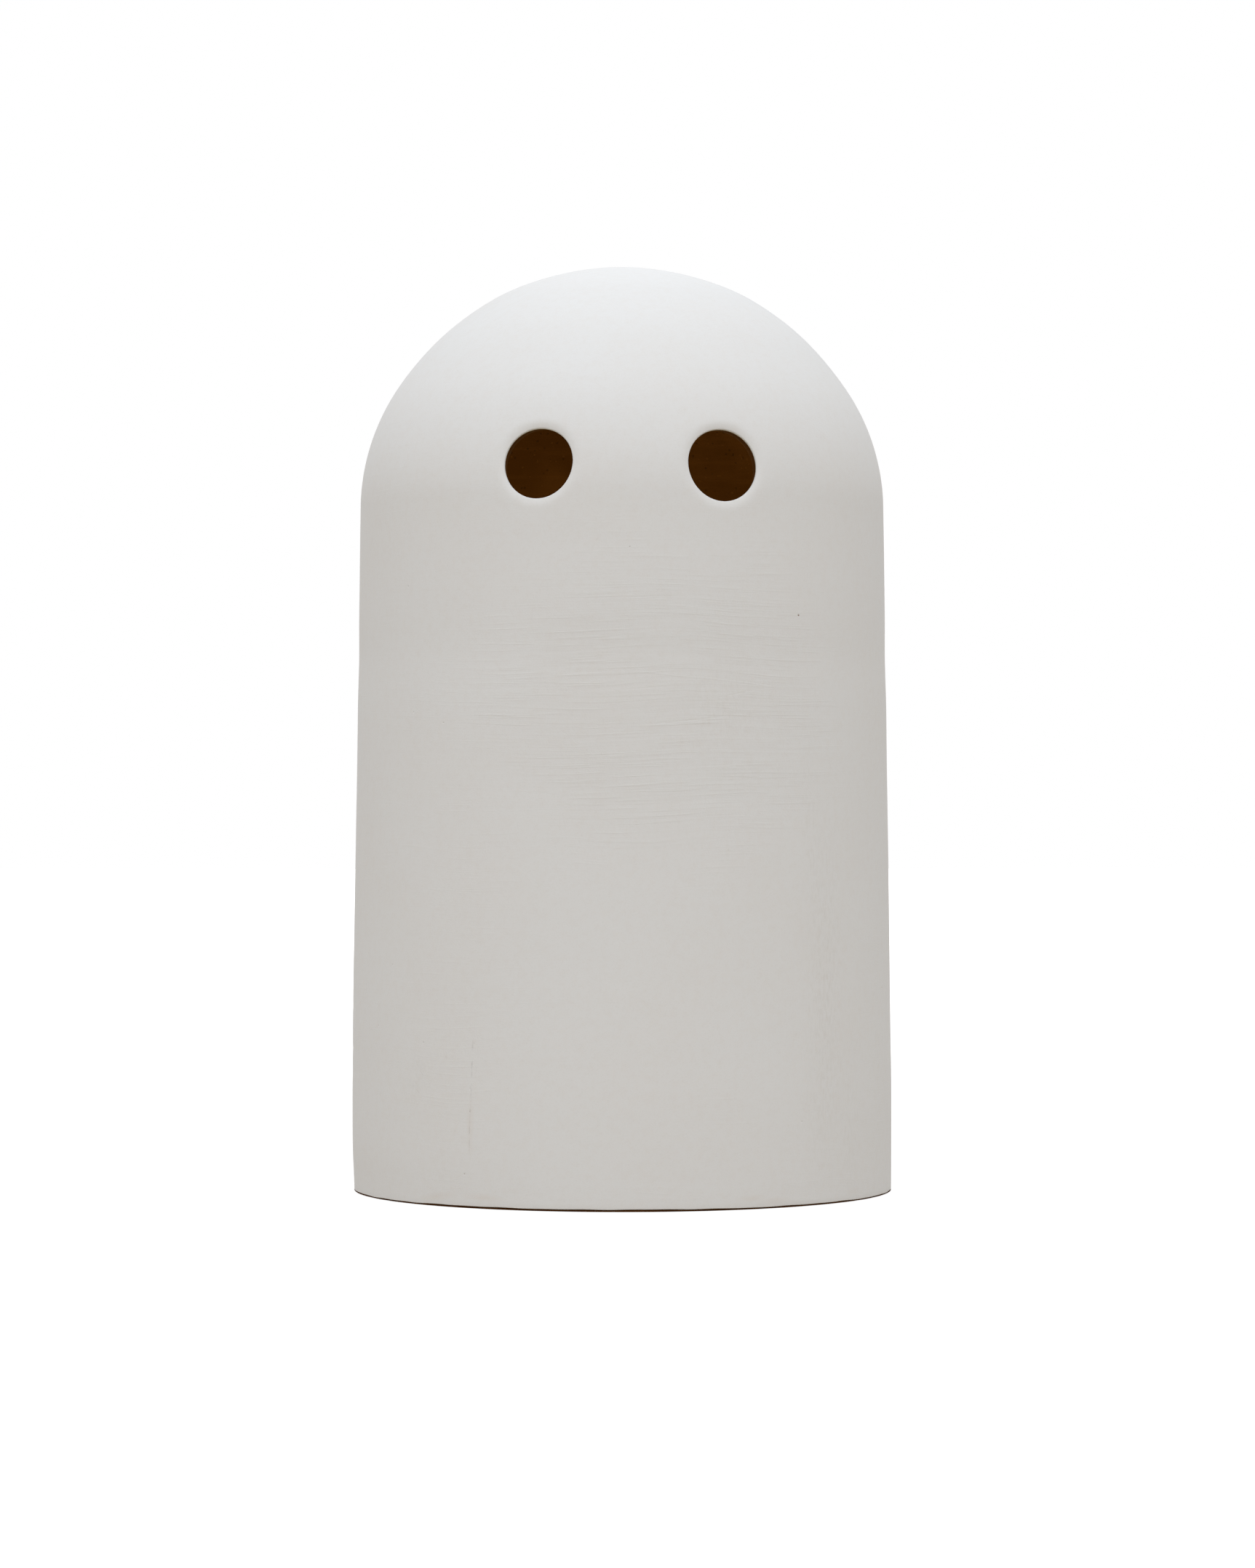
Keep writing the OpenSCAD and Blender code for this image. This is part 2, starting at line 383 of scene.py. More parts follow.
class Weave:
    """Gathers rings of points, and the faces between them, into one closed mesh."""

    # The skin on which the slip has run thin
    BARE = 4

    def __init__(self):
        self.points, self.skins, self.quads, self.tris, self.count = [], [], [], [], 0

    def ring(self, points, skin=0):
        """Adds a ring of points and gives their numbers. Its skin says which relief it takes."""
        self.points.append(points)
        self.skins.append(np.full(len(points), skin))
        self.count += len(points)
        return np.arange(self.count - len(points), self.count)

    def band(self, lower, upper, keep=None, inside=False):
        """Joins two rings, the upper one with as many points, half as many, or just one."""
        after, following = np.roll(lower, -1), np.roll(upper, -1)
        if len(upper) == len(lower):
            faces = [np.stack([lower, after, following, upper], 1)]
            if keep is not None:
                faces[0] = faces[0][keep]
        elif len(upper) == 1:
            faces = [np.stack([lower, after, np.full(len(lower), upper[0])], 1)]
        else:
            even, odd, beyond = lower[::2], lower[1::2], after[1::2]
            faces = [np.stack(corners, 1) for corners in (
                (even, odd, upper), (odd, following, upper), (odd, beyond, following))]
        for rows in faces:
            store = self.quads if rows.shape[1] == 4 else self.tris
            store.append(rows[:, ::-1] if inside else rows)

    def piece(self, name, outline, reliefs, material, sharp=50):
        """Makes the object, with each skin moved along its normal by its relief."""
        points, skins = np.concatenate(self.points), np.concatenate(self.skins)
        normals = outline.normals(points)
        for skin, relief in reliefs.items():
            chosen = skins == skin
            points[chosen] += normals[chosen] * relief(points[chosen])[:, None]
        faces = [rows for rows in self.quads + self.tris if len(rows)]
        used = np.unique(np.concatenate([rows.ravel() for rows in faces]))
        place = np.full(len(points), -1)
        place[used] = np.arange(len(used))
        mesh = bpy.data.meshes.new(name)
        mesh.from_pydata(points[used].tolist(), [],
                         [face for rows in faces for face in place[rows].tolist()])
        for label, values in (("along", outline.along(points[used])),
                              ("bare", skins[used] == self.BARE)):
            attribute = mesh.attributes.new(label, "FLOAT", "POINT")
            attribute.data.foreach_set("value", values.astype(np.float32))
        if mesh.validate():
            raise RuntimeError(f"{name} has bad faces")
        mesh.polygons.foreach_set("use_smooth", [True] * len(mesh.polygons))
        mesh.set_sharp_from_angle(angle=math.radians(sharp))
        mesh.materials.append(material)
        piece = put(name, mesh)
        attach(piece, "root")
        return piece


def join_rings(weave, rings):
    """Joins rings that follow one another."""
    for here, following in zip(rings, rings[1:]):
        weave.band(here, following)


def line_hole(weave, eye, edges, depths, lip, wider, sink):
    """Weaves the rings that lead from the edge of a gap in the outer skin to an eye hole,
    through it, and on to the edge of the gap in the inner skin."""
    points = np.concatenate(weave.points)
    places = [eye.flat(points[edge]) for edge in edges]
    bearings = np.arctan2(places[0][:, 1], places[0][:, 0])
    circle = np.stack([np.cos(bearings), np.sin(bearings)], 1)
    # A hole cut by hand is a little out of round
    wobble = waver(bearings, (0.004, 2, 1 + eye.azimuth), (0.003, 3, 0))
    hole = (eye.radius * (1 + wobble))[:, None] * circle
    # The skin sinks less below the hole than above it
    dip = sink * (0.85 + 0.15 * np.sin(bearings))
    # The rings lie closer together towards the hole
    shares = (1 - np.arange(1, GAP_RINGS + 1) / GAP_RINGS) ** 2
    rims = [hole + more * circle for more in wider]
    loops = [edges[0]]
    for share in shares:
        spot = rims[0] + share * (places[0] - rims[0])
        away = np.hypot(*spot.T) - np.hypot(*rims[0].T)
        bent = dip * np.clip(1 - away / DIP_REACH, 0, 1) ** DIP_BEND
        loops.append(weave.ring(eye.spread(spot, depths[0] + bent), 1))
    loops += [weave.ring(eye.spread(hole + more * circle, depth + dip - sink), skin)
              for more, depth, skin in lip]
    for share in shares[::-1]:
        spot = rims[1] + share * (places[1] - rims[1])
        loops.append(weave.ring(eye.spread(spot, depths[1]), 2))
    join_rings(weave, loops + [edges[1]])


def domed_shell(outline, eyes, starts, depths, spacing, columns, foot, lip, wider, sink=0.0):
    """Weaves a closed shell between two skins, from its foot over its crown, with eye holes.

    Each of starts gives a skin's lowest place at each azimuth, and foot lists the rings
    between them as (share of the way in, rise). The rings through each hole are in lip, as (how
    far beyond the hole's radius, depth, skin), and wider says how far beyond it each skin ends.
    The outer skin sinks by sink on its way to each hole."""
    weave = Weave()
    azimuths = np.linspace(-math.pi, math.pi, columns, endpoint=False)
    lows = [np.broadcast_to(start(azimuths), columns) for start in starts]
    floor = lows[0].mean()
    rows = round((outline.crown - floor) / spacing)
    levels = np.arange(rows) / rows
    # Towards the crown the rings have half as many points each time they would crowd
    counts, count = [], columns
    for radius in outline.skin(floor + (outline.crown - floor) * levels, 0)[0]:
        if 2 * math.pi * radius / count < 0.55 * spacing and count % 2 == 0:
            count //= 2
        counts.append(count)
    # The gap round each hole, from column to column and from row to row
    gaps = []
    for eye in eyes:
        half = eye.radius + GAP_WIDTH
        angle = half / outline.reach(eye.centre[2], 0)
        gaps.append([round((eye.azimuth + side * angle + math.pi) * columns / (2 * math.pi))
                     for side in (-1, 1)]
                    + [round((eye.along + side * half - floor) / (outline.crown - floor) * rows)
                       for side in (-1, 1)])
    first_gap = min(gap[2] for gap in gaps)

    def grid(side):
        """The rings of one skin by their rows, and its pole."""
        rings = {}
        for row, (level, count) in enumerate(zip(levels, counts)):
            if side and 0 < row < first_gap and row % HIDDEN_STEP:
                continue
            # The start's own line is level again above the lowest twelfth
            step, even = columns // count, smooth(level * 12)
            first = lows[side][::step] * (1 - even) + lows[side].mean() * even
            radius, height = outline.skin(first + (outline.crown - first) * level, depths[side])
            rings[row] = weave.ring(around(azimuths[::step], radius, height), side + 1)
        pole = np.array([[0, 0, outline.height - depths[side]]])
        return rings, weave.ring(pole, side + 1)

    grids = [grid(0), grid(1)]
    keeps = [np.ones(count, bool) for count in counts]
    for eye, (left, right, bottom, top) in zip(eyes, gaps):
        for row in range(bottom, top):
            keeps[row][left:right] = False
        edges = [np.array([*rings[bottom][left:right],
                           *(rings[row][right] for row in range(bottom, top)),
                           *rings[top][right:left:-1],
                           *(rings[row][left] for row in range(top, bottom, -1))])
                 for rings, _ in grids]
        line_hole(weave, eye, edges, depths, lip, wider, sink)
    for side, (rings, pole) in enumerate(grids):
        used = sorted(rings)
        for row, above in zip(used, used[1:]):
            same = len(rings[row]) == len(rings[above])
            weave.band(rings[row], rings[above], keeps[row] if same else None, side == 1)
        weave.band(rings[used[-1]], pole, inside=side == 1)
    hem = [grids[0][0][0]]
    for share, rise in foot:
        along = lows[0] * (1 - share) + lows[1] * share
        depth = depths[0] * (1 - share) + depths[1] * share
        radius, height = outline.skin(along, depth)
        hem.append(weave.ring(around(azimuths, radius, height + rise), 3))
    join_rings(weave, [grids[1][0][0], *hem[:0:-1], hem[0]])
    return weave


def turned_ring(section, columns):
    """Weaves a closed section round the axis. The section gives, for all azimuths at once,
    (radius, height, skin) of each of its corners, up the outside and down the inside."""
    weave = Weave()
    azimuths = np.linspace(-math.pi, math.pi, columns, endpoint=False)
    rings = [weave.ring(around(azimuths, radius, height), skin)
             for radius, height, skin in section(azimuths)]
    join_rings(weave, rings + rings[:1])
    return weave


def quarter(radius, steps):
    """Steps round a quarter circle, as (along, across) that grow from 0 to the radius."""
    angles = np.linspace(0, math.pi / 2, steps + 1)
    return [(radius * math.sin(a), radius * (1 - math.cos(a))) for a in angles]


def both_eyes(outline, sizes):
    """The two eye holes, the viewer's left one first."""
    return [EyeHole(outline, sizes, side) for side in (-1, 1)]


def clear_of_eyes(eyes, points):
    """Share of the relief at each point: none up to 1 mm from the eye holes, all from 10 mm."""
    share = np.ones(len(points))
    for eye in eyes:
        away = np.hypot(*eye.flat(points).T)
        # The shell's far side lies in line with the hole too, and keeps its relief
        near = (points - eye.centre) @ eye.out > -40 * MM
        share *= np.where(near, smooth((away - eye.radius - 1 * MM) / (9 * MM)), 1)
    return share


def build_slip(sizes, colours):
    """Brushes the white slip over the clay, round into each eye hole and down to its own line."""
    outline = Outline(sizes)
    eyes = both_eyes(outline, sizes)

    # The lower edge is rounded by this much
    edge = 0.2 * MM

    def start(azimuths):
        """Where the slip begins: highest at the front, wavering where the sponge wiped it."""
        front = 0.2 * hump(azimuths + math.radians(10), math.radians(38))
        wiped = waver(azimuths, (0.05, 9, 1), (0.04, 23, 0), (0.03, 41, 2))
        return sizes.slip_line + (front + wiped - 0.12) * MM + edge

    def relief(points):
        """What hand work left: soft dents and level unevenness, within the solid's own width."""
        up, azimuth = points[:, 2] / MM, np.degrees(azimuth_of(points))
        soft = 0.12 * uneven(points, (48, 48, 40)) + 0.03 * uneven(points, (40, 40, 14), 7.3)
        for height, half_height, bearing, half_width, rise in SWELLS:
            soft += rise * hump(up - height, half_height) * hump(azimuth - bearing, half_width)
        # It bends softly away from just inside the solid's widest radius
        room = (sizes.belly_radius - np.hypot(points[:, 0], points[:, 1])) / MM - 0.04
        bend, low = 0.06, np.minimum(soft, room)
        soft = low - bend * np.log(np.exp((low - soft) / bend) + np.exp((low - room) / bend))
        return np.clip(soft, -0.5, 0.5) * MM * clear_of_eyes(eyes, points)

    def hem_relief(points):
        """The same, fading towards the clay under the slip's lower edge."""
        depth = outline.wall(points[:, 2]) - np.hypot(points[:, 0], points[:, 1])
        return relief(points) * (1 - np.clip(depth / sizes.slip, 0, 1))

    # The rim's rounding goes on from the slope at which the slip sinks towards the hole
    slope = math.atan(sizes.lip_sink * DIP_BEND / DIP_REACH)
    bend = sizes.lip_round / (1 - math.sin(slope))
    lip = [(bend * (1 - math.sin(angle)),
            sizes.lip_sink + bend * (math.cos(slope) - math.cos(angle)), 0)
           for angle in np.linspace(slope, math.pi / 2, 6)[1:]]
    # Then the slip turns in through the hole, and ends against the clay with soft corners
    end = sizes.slip + sizes.lip_depth
    lip += [(more, depth, Weave.BARE) for more, depth in (
        (0, end - 0.35 * MM), (0, end - 0.1 * MM), (0.1 * MM, end), (sizes.slip - 0.1 * MM, end),
        (sizes.slip, end - 0.1 * MM))]
    foot = [(sink / sizes.slip, -go) for go, sink in quarter(edge, 4)[1:]] + [(1, -edge)]
    weave = domed_shell(
        outline, eyes, starts=(start, start), depths=(0, sizes.slip), spacing=1.62 * MM,
        columns=336, foot=foot, lip=lip, wider=(sizes.lip_round, sizes.slip),
        sink=sizes.lip_sink)
    piece = weave.piece("brushed_slip_coat", outline, {1: relief, 3: hem_relief},
                        brushed_slip(colours))
    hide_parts("slip_coat")


def build_dome(sizes, colours):
    """Presses the dome of brown clay, with finger marks inside and both eye holes."""
    outline = Outline(sizes)
    eyes = both_eyes(outline, sizes)
    inner = sizes.slip + sizes.clay
    # A finger rounded the inner edge of each eye hole by this much
    soft = 3.0 * MM
    joint = outline.shoulder - sizes.joint_drop

    def relief(points):
        """Rows of finger presses, over broader hollows of the palm."""
        press = 0.28 * uneven(points, (13, 13, 9), 3.1) + 0.3 * uneven(points, (34, 34, 30), 1.7)
        return press * MM * clear_of_eyes(eyes, points)

    lip = [(sizes.slip, sizes.slip + 2 * MM, 0), (sizes.slip, inner - soft, 0)]
    lip += [(sizes.slip + sink, inner - soft + go, 0) for go, sink in quarter(soft, 8)[1:-1]]
    weave = domed_shell(
        outline, eyes, starts=(lambda azimuths: joint,
                               lambda azimuths: joint + sizes.joint_bevel),
        depths=(sizes.slip, inner), spacing=2.6 * MM, columns=224, foot=[], lip=lip,
        wider=(sizes.slip, sizes.slip + soft))
    piece = weave.piece("clay_dome", outline, {2: relief}, bare_clay(colours), 40)
    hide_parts("dome_cap")


def build_wall(sizes, colours):
    """Bends the slab wall of brown clay, wiped inside, with a sponged foot."""
    outline = Outline(sizes)
    inner, bevel = sizes.slip + sizes.clay, sizes.foot_bevel
    joint = outline.shoulder - sizes.joint_drop

    def section(azimuths):
        foot = outline.wall(0) - sizes.slip
        yield foot - bevel, 0, 0
        # The sponge left a thin burr of clay just under the slip: (how far in, how high)
        for sink, height in ((0.25, 0.06), (-0.1, 0.15), (-0.32, 0.25), (-0.35, 0.36), (0, 0.46)):
            yield foot - sink * MM, height * MM, 3
        for height in np.linspace(4 * MM, joint, 24):
            yield outline.wall(height) - sizes.slip, height, 0
        for height in np.linspace(joint + sizes.joint_bevel, 3 * MM, 80):
            yield outline.wall(height) - inner, height, 2
        yield outline.wall(0) - inner, 0, 0

    def slab(points):
        """Level wiping over the slab's own unevenness, wider than it is high."""
        return (0.3 * uneven(points, (30, 30, 26), 5.2)
                + 0.14 * uneven(points, (26, 26, 5.5), 2.4)) * MM

    def foot_wear(points):
        """The burr is worn, and leans with the slip to the viewer's right."""
        azimuth = np.degrees(azimuth_of(points))
        return (0.05 * uneven(points, (6, 6, 2), 9.1) + 0.5 * hump(azimuth - 90, 40)) * MM

    weave = turned_ring(section, 240)
    piece = weave.piece("clay_wall", outline, {2: slab, 3: foot_wear}, bare_clay(colours), 60)
    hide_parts("wall_slab")


def pressed(bearing, travel, pitch):
    """How a coil's radius changes under the thumb: dimpled on top, smeared out at its sides.
    The bearing is measured round the coil from its free side, and the travel along it."""
    top, sides = hump(bearing, 0.85), hump(np.abs(bearing) - 2.05, 0.3)
    thumbs = 0.5 + 0.5 * np.cos(2 * math.pi * travel / pitch + 0.6 * np.sin(travel / pitch))
    smears = 0.75 + 0.25 * np.cos(7.1 * travel / pitch)
    dimple, swell = 0.15, 0.22
    return 1 - dimple * top * thumbs + swell * sides * smears


def build_coils(sizes, colours):
    """Presses the two coils, one round the dome's joint and one down the wall's seam."""
    outline = Outline(sizes)
    inner = sizes.slip + sizes.clay
    joint = outline.shoulder - sizes.joint_drop
    middle = joint + sizes.joint_bevel
    ring = float(outline.wall(middle)) - inner + sizes.coil_key - sizes.joint_coil
    corners, presses = 30, 34

    def section(azimuths):
        for angle in np.linspace(-math.pi, math.pi, corners, endpoint=False):
            bearing = np.full(len(azimuths), wrapped(angle + math.pi))
            reach = sizes.joint_coil * pressed(bearing, azimuths * ring,
                                               ring * 2 * math.pi / presses)
            yield ring + reach * math.cos(angle), middle + reach * math.sin(angle), 0

    weave = turned_ring(section, 340)
    piece = weave.piece("pressed_joint_coil", outline, {}, coil_clay(colours), 60)
    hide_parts("joint_coil")

    inset = inner - sizes.coil_key + sizes.seam_coil
    low, high = float(outline.wall(0)) - inset, float(outline.wall(joint)) - inset
    bottom = sizes.ring_height - 0.5 * MM
    weave = Weave()
    angles = np.linspace(0, 2 * math.pi, corners, endpoint=False)
    # The coil's free side looks to the axis, along -Y
    bearing = wrapped(angles + math.pi / 2)
    rings = []
    for height in np.linspace(bottom, joint, 150):
        centre, level = low + (high - low) * height / joint, np.full(corners, height)
        reach = sizes.seam_coil * pressed(bearing, level, 13 * MM)
        rings.append(weave.ring(np.stack([
            reach * np.cos(angles), centre + reach * np.sin(angles), level], 1)))
    join_rings(weave, rings)
    for end, height, inside in ((rings[-1], joint, False), (rings[0], bottom, True)):
        centre = low + (high - low) * height / joint
        weave.band(end, weave.ring(np.array([[0, centre, height]])), inside=inside)
    piece = weave.piece("pressed_seam_coil", outline, {}, coil_clay(colours), 60)
    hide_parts("seam_coil")


def build_foot_ring(sizes, colours):
    """Lutes the ring inside the foot and softens it with the sponge."""
    outline = Outline(sizes)
    inner = sizes.slip + sizes.clay
    hole = float(outline.wall(0)) - inner - sizes.ring_width
    top, bevel = sizes.ring_height, sizes.ring_bevel

    def section(azimuths):
        wave = waver(azimuths, (0.4, 5, 1), (0.3, 11, 0), (0.2, 27, 2)) * MM
        for height in np.linspace(0, top - 0.4 * MM, 6):
            yield outline.wall(height) - inner, height, 0
        yield outline.wall(top) - inner - 0.4 * MM, top, 0
        for share in np.linspace(0.25, 0.75, 3):
            flat = float(outline.wall(top)) - inner - (sizes.ring_width - bevel) * share
            yield flat, top - 0.25 * MM + wave * 0.3, 0
        for along, across in quarter(bevel, 5):
            yield hole + bevel - along + wave * 0.5, top - across - 0.2 * MM + wave * 0.3, 0
        for height in np.linspace(top - bevel - 1.5 * MM, 1.2 * MM, 6):
            yield hole + wave * 0.5, height, 0
        for along, across in quarter(0.8 * MM, 4)[1:]:
            yield hole + across + wave * 0.5, 0.8 * MM - along, 0
        yield hole + 4 * MM, 0, 0

    weave = turned_ring(section, 300)
    piece = weave.piece("luted_foot_ring", outline, {}, coil_clay(colours), 60)
    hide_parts("foot_ring")


def add(nodes, kind, inputs=(), **settings):
    """Adds a node with its settings and gives its outputs. Each of its inputs, listed in order
    or by name or number, is set to a value or linked to another node's output."""
    node = nodes.new("ShaderNode" + kind)
    for name, value in settings.items():
        setattr(node, name, value)
    for name, value in inputs.items() if isinstance(inputs, dict) else enumerate(inputs):
        if isinstance(value, bpy.types.NodeSocket):
            nodes.id_data.links.new(value, node.inputs[name])
        else:
            node.inputs[name].default_value = value
    return node.outputs


def new_material(name):
    """A material with an empty node tree, and its nodes."""
    material = bpy.data.materials.new(name)
    material.use_nodes = True
    material.node_tree.nodes.clear()
    return material, material.node_tree.nodes


def tinted(nodes, paint, layers):
    """A colour under layers of tint: (factor, where it starts, where it is full, share, tint)."""
    for factor, low, high, share, tint in layers:
        amount = add(nodes, "MapRange", (factor, low, high, 0.0, share))[0]
        paint = add(nodes, "Mix", {0: amount, 6: paint, 7: (*tint, 1)}, data_type="RGBA")[2]
    return paint


def spots(nodes, sheet, marks):
    """Marks on the unrolled outside, each fading from its middle, added up as one factor."""
    total = 0.0
    for across, up, slant, length, width, share in marks:
        local = add(nodes, "Mapping", {
            "Vector": sheet, "Location": (across * MM, up * MM, 0),
            "Rotation": (0, 0, math.radians(slant)), "Scale": (length * MM, width * MM, 1),
        }, vector_type="TEXTURE")[0]
        near = add(nodes, "TexGradient", (local,), gradient_type="SPHERICAL")["Fac"]
        total = add(nodes, "Math", (near, share, total), operation="MULTIPLY_ADD")[0]
    return total


def brushed_slip(colours):
    """White slip, brushed on leather-hard clay and fired matt, with no glaze over it.
    To the eye it is chalky and even, with faint level bristle lines where light grazes it."""
    material, nodes = new_material("brushed_white_slip")
    place = add(nodes, "TexCoord")["Object"]
    x, y, z = add(nodes, "SeparateXYZ", (place,))
    along, bare = (add(nodes, "Attribute", attribute_name=label)["Fac"]
                   for label in ("along", "bare"))
    # Bristle lines wander up and down by a few millimetres on their way round
    wander = add(nodes, "TexNoise", {
        "Vector": place, "Scale": 1 / (71 * MM), "Detail": 1.0})["Fac"]
    drift = add(nodes, "Math", (wander, 9 * MM, along), operation="MULTIPLY_ADD")[0]

    def strokes(length, width):
        """Noise drawn out level, by a stroke's length and width in millimetres."""
        drawn = add(nodes, "CombineXYZ", [
            add(nodes, "Math", (part, reach * MM), operation="DIVIDE")[0]
            for part, reach in ((x, length), (y, length), (drift, width))])[0]
        return add(nodes, "TexNoise", {
            "Vector": drawn, "Scale": 1.0, "Detail": 2.0, "Roughness": 0.6})["Fac"]

    bristles, laps = strokes(26, 0.85), strokes(70, 5.5)
    # The outside unrolled into a sheet, with heights that shake a little like a hand
    ahead = add(nodes, "Math", (y, -1.0), operation="MULTIPLY")[0]
    azimuth = add(nodes, "Math", (x, ahead), operation="ARCTAN2")[0]
    shake = add(nodes, "TexNoise", {
        "Vector": place, "Scale": 1 / (22 * MM), "Detail": 2.0})["Fac"]
    shaky = add(nodes, "Math", (shake, 1.6 * MM, z), operation="MULTIPLY_ADD")[0]
    across = add(nodes, "Math", (azimuth, ROLL_RADIUS), operation="MULTIPLY")[0]
    up = add(nodes, "Math", (shaky, 0.8 * MM), operation="SUBTRACT")[0]
    sheet = add(nodes, "CombineXYZ", (across, up))[0]
    # The brush ran driest on the chest, and in patches elsewhere
    chest = add(nodes, "MapRange", (spots(nodes, sheet, DRIEST), 0.0, 0.5))[0]
    patches = add(nodes, "TexNoise", {
        "Vector": place, "Scale": 1 / (42 * MM), "Detail": 1.0})["Fac"]
    patchy = add(nodes, "MapRange", (patches, 0.45, 0.7))[0]
    dry = add(nodes, "Math", (patchy, 0.3, 0.28), operation="MULTIPLY_ADD")[0]
    shown = add(nodes, "Math", (chest, 0.9, dry), operation="MULTIPLY_ADD")[0]
    lines, scratches, pits, stains, rubbed = (
        spots(nodes, sheet, marks) for marks in (LINES, SCRATCHES, PITS, STAINS, RUBBED))
    # Rubbing and drips left an upright mottle, 1 mm wide and a few millimetres high
    upright = add(nodes, "VectorMath", (sheet, (1 / (1.0 * MM), 1 / (3.5 * MM), 1)),
                  operation="MULTIPLY")[0]
    mottle = add(nodes, "TexNoise", {
        "Vector": upright, "Scale": 1.0, "Detail": 3.0, "Roughness": 0.6})["Fac"]
    mottled = add(nodes, "MapRange", (mottle, 0.45, 0.7))[0]
    rub = add(nodes, "Math", (mottled, rubbed), operation="MULTIPLY")[0]
    # Grit of the dried slip, half a millimetre apart, and its clots, a few times as wide
    grit, clots = (add(nodes, "TexNoise", {
        "Vector": place, "Scale": 1 / (grain * MM), "Detail": 2.0})["Fac"]
        for grain in (0.53, 2.4))
    # Scratches and hairlines are broken where the slip holds
    held = add(nodes, "MapRange", (clots, 0.35, 0.6))[0]
    broken = add(nodes, "Math", (scratches, held), operation="MULTIPLY")[0]
    # Pinholes: of cells about 13 mm wide, one in seven holds a dot 0.3 mm wide
    cells = add(nodes, "TexVoronoi", {"Vector": place, "Scale": 1 / (13.3 * MM)})
    pick = add(nodes, "SeparateColor", (cells["Color"],))[0]
    near = add(nodes, "Math", (cells["Distance"], 0.012), operation="LESS_THAN")[0]
    rare = add(nodes, "Math", (pick, 0.14), operation="LESS_THAN")[0]
    pinholes = add(nodes, "Math", (near, rare), operation="MULTIPLY")[0]
    dots = add(nodes, "Math", (pinholes, pits), operation="MAXIMUM")[0]

    # Relief in millimetres, with the strongest bristle lines raised once more
    ridges = add(nodes, "MapRange", (bristles, 0.56, 0.78))[0]
    drawn = add(nodes, "Math", (bristles, ridges), operation="ADD")[0]
    drawn = add(nodes, "Math", (drawn, shown), operation="MULTIPLY")[0]
    relief = add(nodes, "Math", (drawn, 0.023), operation="MULTIPLY")[0]
    for factor, depth in ((laps, 0.04), (grit, 0.02), (clots, 0.02), (lines, 0.035),
                          (broken, -0.03), (dots, -0.15)):
        relief = add(nodes, "Math", (factor, depth, relief), operation="MULTIPLY_ADD")[0]
    bump = add(nodes, "Bump", {"Strength": 1.0, "Distance": MM, "Height": relief})[0]
    # Where the coat runs thin, the clay tints it, and it is bare at its edge in the eye holes
    blotches = add(nodes, "TexNoise", {
        "Vector": place, "Scale": 1 / (38 * MM), "Detail": 4.0})["Fac"]
    streaks = add(nodes, "Math", (bristles, shown), operation="MULTIPLY")[0]
    worn = add(nodes, "Math", (clots, 0.4, bare), operation="MULTIPLY_ADD")[0]
    paint = tinted(nodes, (*colours.slip, 1), (
        (blotches, 0.4, 0.75, 0.05, colours.slip_thin),
        (clots, 0.45, 0.7, 0.05, colours.slip_thin),
        (grit, 0.5, 0.7, 0.06, colours.slip_rub),
        (streaks, 0.4, 0.7, 0.06, colours.slip_rub),
        (rub, 0.0, 1.0, 0.22, colours.slip_rub),
        (stains, 0.0, 1.0, 0.6, colours.slip_thin),
        (broken, 0.1, 0.8, 0.12, colours.clay_speck),
        (dots, 0.3, 1.0, 0.8, colours.rust),
        (worn, 0.3, 1.0, 0.95, colours.clay)))
    rough = add(nodes, "MapRange", {"Value": grit, "To Min": 0.78, "To Max": 0.9})[0]
    shader = add(nodes, "BsdfPrincipled", {
        "Base Color": paint, "Roughness": rough, "IOR": 1.5, "Specular IOR Level": 0.35,
        "Normal": bump})[0]
    add(nodes, "OutputMaterial", {"Surface": shader})
    return material


